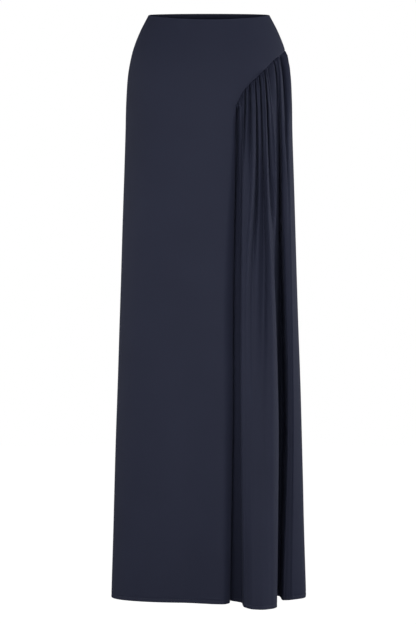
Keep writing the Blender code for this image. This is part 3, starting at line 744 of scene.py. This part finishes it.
class Panel:
    """One piece of cloth as points, four-sided faces and a flat place for each point."""

    def __init__(self):
        self.points = []
        self.flat = []
        self.faces = []
        self.known = {}
        self.stitches = []
        self.wear = {}

    def point_id(self, point, flat):
        """The id of a point, which two grids share where they meet."""
        key = tuple(round(value, 7) for value in point)
        if key not in self.known:
            self.known[key] = len(self.points)
            self.points.append(point.copy())
            self.flat.append(flat)
        return self.known[key]

    def add_grid(self, grid, flat):
        """Adds rows of points with their flat places and joins them with faces."""
        ids = []
        for points, places in zip(grid, flat):
            ids.append([self.point_id(point, place) for point, place in zip(points, places)])
        for upper, lower in zip(ids, ids[1:]):
            for column in range(len(upper) - 1):
                face = (upper[column], lower[column], lower[column + 1], upper[column + 1])
                if len(set(face)) == 4:
                    self.faces.append(face)
        return ids

    def normals(self):
        """The outward direction of the cloth at each of its points."""
        sums = [Vector((0.0, 0.0, 0.0)) for _ in self.points]
        for face in self.faces:
            a, b, c, d = [self.points[index] for index in face]
            normal = (c - a).cross(d - b)
            for index in face:
                sums[index] += normal
        return [total.normalized() for total in sums]

    def stitch_line(self, ids):
        """Keeps the line of the hem's stitches, with the outward direction of each point."""
        normals = self.normals()
        self.stitches = [(self.points[index].copy(), normals[index]) for index in ids]

    def pin_to_groove(self, ids):
        """Puts the points of a line exactly on the seam in the groove."""
        for index in ids:
            self.points[index] = large_fold_line(0.0, [-self.points[index].z])[0]

    def end_directions(self, border, inner, normals):
        """At each point of a border, the direction straight across it in which the cloth ends."""
        last = len(border) - 1
        directions = []
        for place, (edge, near) in enumerate(zip(border, inner)):
            along = self.points[border[min(place + 1, last)]] - self.points[border[max(place - 1, 0)]]
            direction = normals[edge].cross(along).normalized()
            if direction.dot(self.points[edge] - self.points[near]) <= 0.0:
                direction = -direction
            directions.append(direction)
        return directions

    def end_trims(self, border):
        """How the points of a turned edge move along it, so that its two ends stay off the seams."""
        trims = [Vector((0.0, 0.0, 0.0)) for _ in border]
        trims[0] = (self.points[border[1]] - self.points[border[0]]).normalized() * EDGE_TRIM
        trims[-1] = (self.points[border[-2]] - self.points[border[-1]]).normalized() * EDGE_TRIM
        return trims

    def add_strips(self, lines, flipped):
        """Joins each line of point ids with the next by a strip of faces."""
        for near, far in zip(lines, lines[1:]):
            for column in range(len(near) - 1):
                face = (near[column], far[column], far[column + 1], near[column + 1])
                self.faces.append(tuple(reversed(face)) if flipped else face)

    def turn_edge(self, border, inner, turns, setback, flipped=False, inward=None):
        """Sets a border back and adds the cloth that is turned in behind it.

        Border holds the ids of the last line of points. Inner holds those of a line further in, which tells
        on which side the cloth ends. Inward gives the direction of a seam's allowances; without it the cloth
        turns straight in.
        """
        normals = self.normals()
        if inward:
            for index in border:
                normals[index] = -inward(self.points[index])
        beyond = self.end_directions(border, inner, normals)
        for index, direction in zip(border, beyond):
            self.points[index] -= direction * setback
            self.wear[index] = 1.0
        trims = [Vector((0.0, 0.0, 0.0)) for _ in border] if inward else self.end_trims(border)
        lines = [border]
        for step, turn in enumerate(turns):
            line = []
            for index, direction, trim in zip(border, beyond, trims):
                place = self.points[index] + direction * turn.beyond - normals[index] * turn.inside + trim
                u, v = self.flat[index]
                self.points.append(place)
                self.flat.append((u, v + turn.inside + turn.beyond))
                line.append(len(self.points) - 1)
                self.wear[line[-1]] = max(0.0, 1.0 - WEAR_FADE * step)
            lines.append(line)
        self.add_strips(lines, flipped)

    def build(self, name, material):
        """Makes the mesh object, with the cloth's own thickness to both sides."""
        data = bpy.data.meshes.new(name)
        data.from_pydata(self.points, [], self.faces)
        layer = data.uv_layers.new(name="cloth")
        for loop in data.loops:
            layer.data[loop.index].uv = self.flat[loop.vertex_index]
        wear = data.attributes.new("edge_wear", "FLOAT", "POINT")
        for index, amount in self.wear.items():
            wear.data[index].value = amount * EDGE_WEAR
        data.materials.append(material)
        piece = bpy.data.objects.new(name, data)
        bpy.context.scene.collection.objects.link(piece)
        select_only(piece)
        thickness = piece.modifiers.new("thickness", "SOLIDIFY")
        thickness.thickness = CLOTH
        thickness.offset = 0.0
        bpy.ops.object.modifier_apply(modifier=thickness.name)
        bpy.ops.object.shade_smooth()
        return piece


def right_side_inward(point):
    """Straight in from the body at the right side seam."""
    return -body_normal(SIDE_SEAM, -point.z)


def left_side_inward(point):
    """Straight in from the body at the left side seam."""
    return -body_normal(-SIDE_SEAM, -point.z)


def groove_inward(point):
    """Half-way between the two cloths that meet in the groove."""
    drop = -point.z
    seam = large_fold_line(0.0, [drop])[0]
    front_way = (seam - front_section(drop)[-GROOVE_STEPS]).normalized()
    gathered_way = (seam - large_fold_line(GROOVE_NEAR_SHARE, [drop])[0]).normalized()
    return (front_way + gathered_way).normalized()


def flat_places(grid):
    """Flat places of a grid's points: the length across from the middle of the body, and the drop."""
    places = []
    for points in grid:
        lengths = lengths_along(points)
        middle = min(range(len(points)), key=lambda index: abs(points[index].x))
        places.append([(length - lengths[middle], -point.z) for length, point in zip(lengths, points)])
    return places


def column_of(ids, column, inner_column):
    """A column of a grid of point ids, and the column further in that goes with it."""
    return [row[column] for row in ids], [row[inner_column] for row in ids]


def make_front(material):
    """The smooth front, cut in one with the hip yoke."""
    panel = Panel()
    grid = front_grid()
    flat = flat_places(grid)
    main = panel.add_grid(grid, flat)
    yoke_points = yoke_grid()
    yoke_flat = []
    for row, points in enumerate(yoke_points):
        start = flat[row][-1][0]
        yoke_flat.append([(start + length, -point.z) for length, point in zip(lengths_along(points), points)])
    yoke = panel.add_grid(yoke_points, yoke_flat)
    raise_cloth(panel, FRONT_CREASES, level_hem)
    panel.stitch_line(main[STITCH_ROW])
    left, left_inner = column_of(main, 0, 1)
    panel.turn_edge(left, left_inner, SEAM_FIN, SEAM_SETBACK, inward=left_side_inward)
    groove, groove_inner = column_of(main[ROWS_ABOVE_CORNER:], -1, -GROOVE_INNER_COLUMNS)
    panel.pin_to_groove(groove)
    panel.turn_edge(groove, groove_inner, SEAM_FIN, GROOVE_SETBACK, flipped=True, inward=groove_inward)
    for rows, turns in ((yoke[:-YOKE_END_ROWS], SEAM_FIN), (yoke[-YOKE_END_ROWS:], [])):
        right, right_inner = column_of(rows, -1, -2)
        panel.turn_edge(right, right_inner, turns, SEAM_SETBACK, flipped=True, inward=right_side_inward)
    panel.turn_edge(yoke[-1], yoke[-2], YOKE_FOLD, ROLL_RADIUS)
    panel.turn_edge(main[-1], main[-2], HEM_FOLD, ROLL_RADIUS)
    waist = main[0] + yoke[0][1:]
    waist_inner = main[1] + yoke[1][1:]
    panel.turn_edge(waist, waist_inner, WAIST_FOLD, ROLL_RADIUS, flipped=True)
    return panel.build("front_cloth", material), panel.stitches


def make_gathered(material):
    """The gathered panel, with its seam allowance under the yoke."""
    panel = Panel()
    grid = gathered_grid()
    across = [column.share * GATHERED_WIDTH for column in gather_columns()]
    flat = [[(place, -point.z) for place, point in zip(across, points)] for points in grid]
    ids = panel.add_grid(grid, flat)
    raise_cloth(panel, GATHERED_CREASES, sagging_hem)
    panel.stitch_line(ids[STITCH_ROW])
    left, left_inner = column_of(ids[ALLOWANCE_ROWS + 1:], 0, GROOVE_INNER_COLUMNS)
    panel.pin_to_groove(left)
    panel.turn_edge(left, left_inner, SEAM_FIN, GROOVE_SETBACK, inward=groove_inward)
    right, right_inner = column_of(ids[ALLOWANCE_ROWS + 1:], -1, -2)
    panel.turn_edge(right, right_inner, SEAM_FIN, SEAM_SETBACK, flipped=True, inward=right_side_inward)
    for column, inner_column in ((0, 1), (-1, -2)):
        allowance, allowance_inner = column_of(ids[:ALLOWANCE_ROWS + 1], column, inner_column)
        panel.turn_edge(allowance, allowance_inner, [], ALLOWANCE_SETBACK)
    panel.turn_edge(ids[-1], ids[-2], HEM_FOLD, ROLL_RADIUS)
    return panel.build("gathered_cloth", material), panel.stitches


def make_back(material):
    """The back, from side seam to side seam."""
    panel = Panel()
    grid = back_grid()
    ids = panel.add_grid(grid, flat_places(grid))
    raise_cloth(panel, [], level_hem)
    panel.stitch_line(ids[STITCH_ROW])
    first, first_inner = column_of(ids, 0, 1)
    panel.turn_edge(first, first_inner, SEAM_FIN, SEAM_SETBACK, inward=right_side_inward)
    last, last_inner = column_of(ids, -1, -2)
    panel.turn_edge(last, last_inner, SEAM_FIN, SEAM_SETBACK, flipped=True, inward=left_side_inward)
    panel.turn_edge(ids[-1], ids[-2], HEM_FOLD, ROLL_RADIUS)
    panel.turn_edge(ids[0], ids[1], WAIST_FOLD, ROLL_RADIUS, flipped=True)
    return panel.build("back_cloth", material), panel.stitches


def place_on_line(line, lengths, wanted):
    """The point and the normal at a length along a line of points with normals."""
    index = 0
    while index < len(line) - 2 and lengths[index + 1] < wanted:
        index += 1
    share = (wanted - lengths[index]) / (lengths[index + 1] - lengths[index])
    start, start_normal = line[index]
    end, end_normal = line[index + 1]
    return start.lerp(end, share), start_normal.lerp(end_normal, share).normalized()


def make_stitches(lines, material):
    """The row of stitches round the hem, on the outside of the cloth and on the turned edge inside."""
    curve = bpy.data.curves.new("hem_stitches", "CURVE")
    curve.dimensions = "3D"
    curve.bevel_depth = STITCH_WIDTH / 2.0
    curve.bevel_resolution = 1
    curve.use_fill_caps = True
    for line in lines:
        points = [point for point, _ in line]
        lengths = lengths_along(points)
        count = int((lengths[-1] - 2.0 * STITCH_PITCH) / STITCH_PITCH)
        for stitch in range(count):
            start = STITCH_PITCH * (1.0 + stitch)
            for side in (STITCH_OUTSIDE, STITCH_INSIDE):
                spline = curve.splines.new("POLY")
                spline.points.add(len(STITCH_SHAPE) - 1)
                outward = 1.0 if side > 0.0 else -1.0
                for knot, shape in zip(spline.points, STITCH_SHAPE):
                    place, normal = place_on_line(line, lengths, start + shape.along * STITCH_LENGTH)
                    place += normal * (side + shape.lift * STITCH_WIDTH * outward)
                    knot.co = (*place, 1.0)
    thread = bpy.data.objects.new("hem_stitches", curve)
    bpy.context.scene.collection.objects.link(thread)
    select_only(thread)
    bpy.ops.object.convert(target="MESH")
    bpy.ops.object.mode_set(mode="EDIT")
    bpy.ops.mesh.select_all(action="SELECT")
    bpy.ops.mesh.remove_doubles(threshold=STITCH_MERGE)
    bpy.ops.mesh.normals_make_consistent(inside=False)
    bpy.ops.object.mode_set(mode="OBJECT")
    thread.data.materials.append(material)
    bpy.ops.object.shade_smooth()
    return thread


# ---------------------------------------------------------------- materials
NAVY = (0.0233, 0.0270, 0.0508, 1.0)
# the dark end of both the uneven tone and the painted shade in the gaps between the loop columns
DEEP_NAVY = (0.0184, 0.0212, 0.0408, 1.0)
WORN_NAVY = (0.0300, 0.0335, 0.0600, 1.0)
THREAD_NAVY = (0.0400, 0.0440, 0.0700, 1.0)
DARK_THREAD_NAVY = (0.0260, 0.0290, 0.0500, 1.0)
SHEEN_BLUE = (0.55, 0.62, 1.0, 1.0)
WALE = 0.0008               # width of one column of knitted loops
COURSE = 0.0006             # height of one row of loops
KNIT_DEPTH = 0.00009
GAP_START = 0.3             # distance from a column's middle, in columns, where the gap beside it begins
GAP_SHARPNESS = 5.0         # how steeply the cloth falls into the gap
GAP_SOFTNESS = 0.1
GAP_PAINTED_SHADE = -0.35           # painted shade: how much darker the colour is painted in the gap between two columns of loops
BROAD_SCALE = 9.0           # broad, soft changes of tone over the whole skirt
HEATHER_SCALE = 420.0       # fine changes of tone along the yarn
TONE_CONTRAST = 0.9         # how strongly both change the tone
TONE_START = -0.55          # the tone where both are 0, below 0 for more of the darkest
PLY_SCALE = 2600.0          # fine changes of tone along the thread
PLY_DEPTH = 0.00005


def value_of(nodes, links, operation, *values):
    """A math node, with each value a number or another node's output."""
    node = nodes.new("ShaderNodeMath")
    node.operation = operation
    for socket, value in zip(node.inputs, values):
        if isinstance(value, (int, float)):
            socket.default_value = value
        else:
            links.new(value, socket)
    return node.outputs["Value"]


def mixed_colour(nodes, links, share, first, second):
    """Two colours mixed by a share; each is a colour or another node's output."""
    mix = nodes.new("ShaderNodeMix")
    mix.data_type = "RGBA"
    links.new(share, mix.inputs["Factor"])
    for socket, colour in ((mix.inputs[6], first), (mix.inputs[7], second)):
        if isinstance(colour, tuple):
            socket.default_value = colour
        else:
            links.new(colour, socket)
    return mix.outputs[2]


def noise_value(nodes, links, place, scale, detail):
    """An uneven value, from 0 to 1, that changes from place to place."""
    texture = nodes.new("ShaderNodeTexNoise")
    texture.inputs["Scale"].default_value = scale
    texture.inputs["Detail"].default_value = detail
    links.new(place, texture.inputs["Vector"])
    return texture.outputs["Fac"]


def clamped(nodes, links, value):
    """Another node's output, kept between 0 and 1."""
    clamp = nodes.new("ShaderNodeClamp")
    links.new(value, clamp.inputs["Value"])
    return clamp.outputs["Result"]


def navy_jersey():
    """Single jersey: columns of V-shaped loops with painted shade in the gaps between them, uneven in tone, a
    little faded where an edge is turned.
    """
    material = bpy.data.materials.new("navy_jersey")
    material.use_nodes = True
    nodes = material.node_tree.nodes
    links = material.node_tree.links
    shader = nodes["Principled BSDF"]
    cloth = nodes.new("ShaderNodeUVMap")
    cloth.uv_map = "cloth"
    flat = nodes.new("ShaderNodeSeparateXYZ")
    links.new(cloth.outputs["UV"], flat.inputs["Vector"])
    wale = value_of(nodes, links, "FRACT", value_of(nodes, links, "DIVIDE", flat.outputs["X"], WALE))
    off_middle = value_of(nodes, links, "ABSOLUTE", value_of(nodes, links, "SUBTRACT", wale, 0.5))
    course = value_of(nodes, links, "DIVIDE", flat.outputs["Y"], COURSE)
    slant = value_of(nodes, links, "ADD", course, off_middle)
    turn = value_of(nodes, links, "SINE", value_of(nodes, links, "MULTIPLY", slant, 2.0 * pi))
    loops = value_of(nodes, links, "MULTIPLY_ADD", turn, 0.5, 0.5)
    fall = value_of(nodes, links, "MULTIPLY_ADD", off_middle, GAP_SHARPNESS, -GAP_SHARPNESS * GAP_START)
    gap = value_of(nodes, links, "SMOOTH_MAX", fall, 0.0, GAP_SOFTNESS)
    height = value_of(nodes, links, "SUBTRACT", loops, gap)
    place = nodes.new("ShaderNodeTexCoord").outputs["Object"]
    broad = noise_value(nodes, links, place, BROAD_SCALE, 2.0)
    heather = noise_value(nodes, links, cloth.outputs["UV"], HEATHER_SCALE, 3.0)
    both = value_of(nodes, links, "ADD", broad, heather)
    tone = value_of(nodes, links, "MULTIPLY_ADD", both, TONE_CONTRAST, TONE_START)
    # painted shade: the uneven tone is darkened in the gaps between the columns of loops
    shade = value_of(nodes, links, "MULTIPLY_ADD", gap, GAP_PAINTED_SHADE, tone)
    colour = mixed_colour(nodes, links, clamped(nodes, links, shade), DEEP_NAVY, NAVY)
    worn = nodes.new("ShaderNodeAttribute")
    worn.attribute_name = "edge_wear"
    colour = mixed_colour(nodes, links, worn.outputs["Fac"], colour, WORN_NAVY)
    links.new(colour, shader.inputs["Base Color"])
    bump = nodes.new("ShaderNodeBump")
    bump.inputs["Strength"].default_value = 0.35
    bump.inputs["Distance"].default_value = KNIT_DEPTH
    links.new(height, bump.inputs["Height"])
    links.new(bump.outputs["Normal"], shader.inputs["Normal"])
    shader.inputs["Roughness"].default_value = 0.72
    shader.inputs["Specular IOR Level"].default_value = 0.16
    shader.inputs["Sheen Weight"].default_value = 0.06
    shader.inputs["Sheen Roughness"].default_value = 0.5
    shader.inputs["Sheen Tint"].default_value = SHEEN_BLUE
    return material


def navy_thread():
    """The hem's thread: a shade lighter than the cloth, with its plies showing as a fine change of tone."""
    material = bpy.data.materials.new("navy_thread")
    material.use_nodes = True
    nodes = material.node_tree.nodes
    links = material.node_tree.links
    shader = nodes["Principled BSDF"]
    place = nodes.new("ShaderNodeTexCoord").outputs["Object"]
    plies = noise_value(nodes, links, place, PLY_SCALE, 1.0)
    links.new(mixed_colour(nodes, links, plies, DARK_THREAD_NAVY, THREAD_NAVY), shader.inputs["Base Color"])
    bump = nodes.new("ShaderNodeBump")
    bump.inputs["Strength"].default_value = 0.4
    bump.inputs["Distance"].default_value = PLY_DEPTH
    links.new(plies, bump.inputs["Height"])
    links.new(bump.outputs["Normal"], shader.inputs["Normal"])
    shader.inputs["Roughness"].default_value = 0.5
    shader.inputs["Specular IOR Level"].default_value = 0.3
    shader.inputs["Sheen Weight"].default_value = 0.1
    return material


# ---------------------------------------------------------------- stage, light and camera
def floor_and_light():
    """A white floor and a white background, with the light on the skirt left to the softboxes."""
    scene = bpy.context.scene
    bpy.ops.mesh.primitive_plane_add(size=FLOOR_SIZE, location=FLOOR_PLACE)
    floor = bpy.context.object
    floor.name = "floor"
    white = bpy.data.materials.new("white_floor")
    white.use_nodes = True
    shader = white.node_tree.nodes["Principled BSDF"]
    shader.inputs["Base Color"].default_value = (0.9, 0.9, 0.9, 1.0)
    shader.inputs["Roughness"].default_value = 0.9
    shader.inputs["Emission Color"].default_value = (1.0, 1.0, 1.0, 1.0)
    shader.inputs["Emission Strength"].default_value = 1.0
    floor.data.materials.append(white)
    floor.visible_diffuse = False
    floor.visible_glossy = False
    world = bpy.data.worlds.new("white_studio")
    world.use_nodes = True
    nodes = world.node_tree.nodes
    links = world.node_tree.links
    background = nodes["Background"]
    background.inputs["Color"].default_value = (1.0, 1.0, 1.0, 1.0)
    seen = nodes.new("ShaderNodeLightPath")
    strength = nodes.new("ShaderNodeMapRange")
    strength.inputs["To Min"].default_value = WORLD_LIGHT
    strength.inputs["To Max"].default_value = 1.0
    links.new(seen.outputs["Is Camera Ray"], strength.inputs["Value"])
    links.new(strength.outputs["Result"], background.inputs["Strength"])
    scene.world = world
    scene.view_settings.view_transform = "Standard"


def softbox(box):
    """A square softbox at an angle round the skirt: 0 in front, 90 degrees at the right."""
    light = bpy.data.lights.new(box.name, "AREA")
    light.energy = box.power
    light.size = SOFTBOX_SIZE
    lamp = bpy.data.objects.new(box.name, light)
    bpy.context.scene.collection.objects.link(lamp)
    angle = radians(box.angle)
    lamp.location = (box.distance * sin(angle), -box.distance * cos(angle), box.height)
    lamp.rotation_euler = (SOFTBOX_AIM - lamp.location).to_track_quat("-Z", "Y").to_euler()
    lamp.visible_camera = False


def photo_camera():
    """The camera at the photograph's place, with one of its pixels the stated size at the skirt."""
    down = AIM_HEIGHT - CAMERA_PLACE.z
    distance = hypot(CAMERA_PLACE.y, down)
    data = bpy.data.cameras.new("photo_camera")
    data.sensor_fit = "VERTICAL"
    data.sensor_height = SENSOR_HEIGHT
    data.lens = data.sensor_height * distance / (PHOTO_HEIGHT * PIXEL)
    camera = bpy.data.objects.new("photo_camera", data)
    camera.location = CAMERA_PLACE
    camera.rotation_euler = (pi / 2.0 + atan(down / -CAMERA_PLACE.y), 0.0, 0.0)
    bpy.context.scene.collection.objects.link(camera)
    bpy.context.scene.camera = camera


jersey = navy_jersey()
thread = navy_thread()
front, front_hem = make_front(jersey)
gathered, gathered_hem_line = make_gathered(jersey)
back, back_hem = make_back(jersey)
stitches = make_stitches([front_hem, gathered_hem_line, back_hem], thread)
for piece, node in ((front, "front_panel"), (gathered, "gathered_panel"), (back, "back_panel")):
    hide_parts(node)
    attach(piece, "root")
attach(stitches, "root")
floor_and_light()
for box in SOFTBOXES:
    softbox(box)
photo_camera()
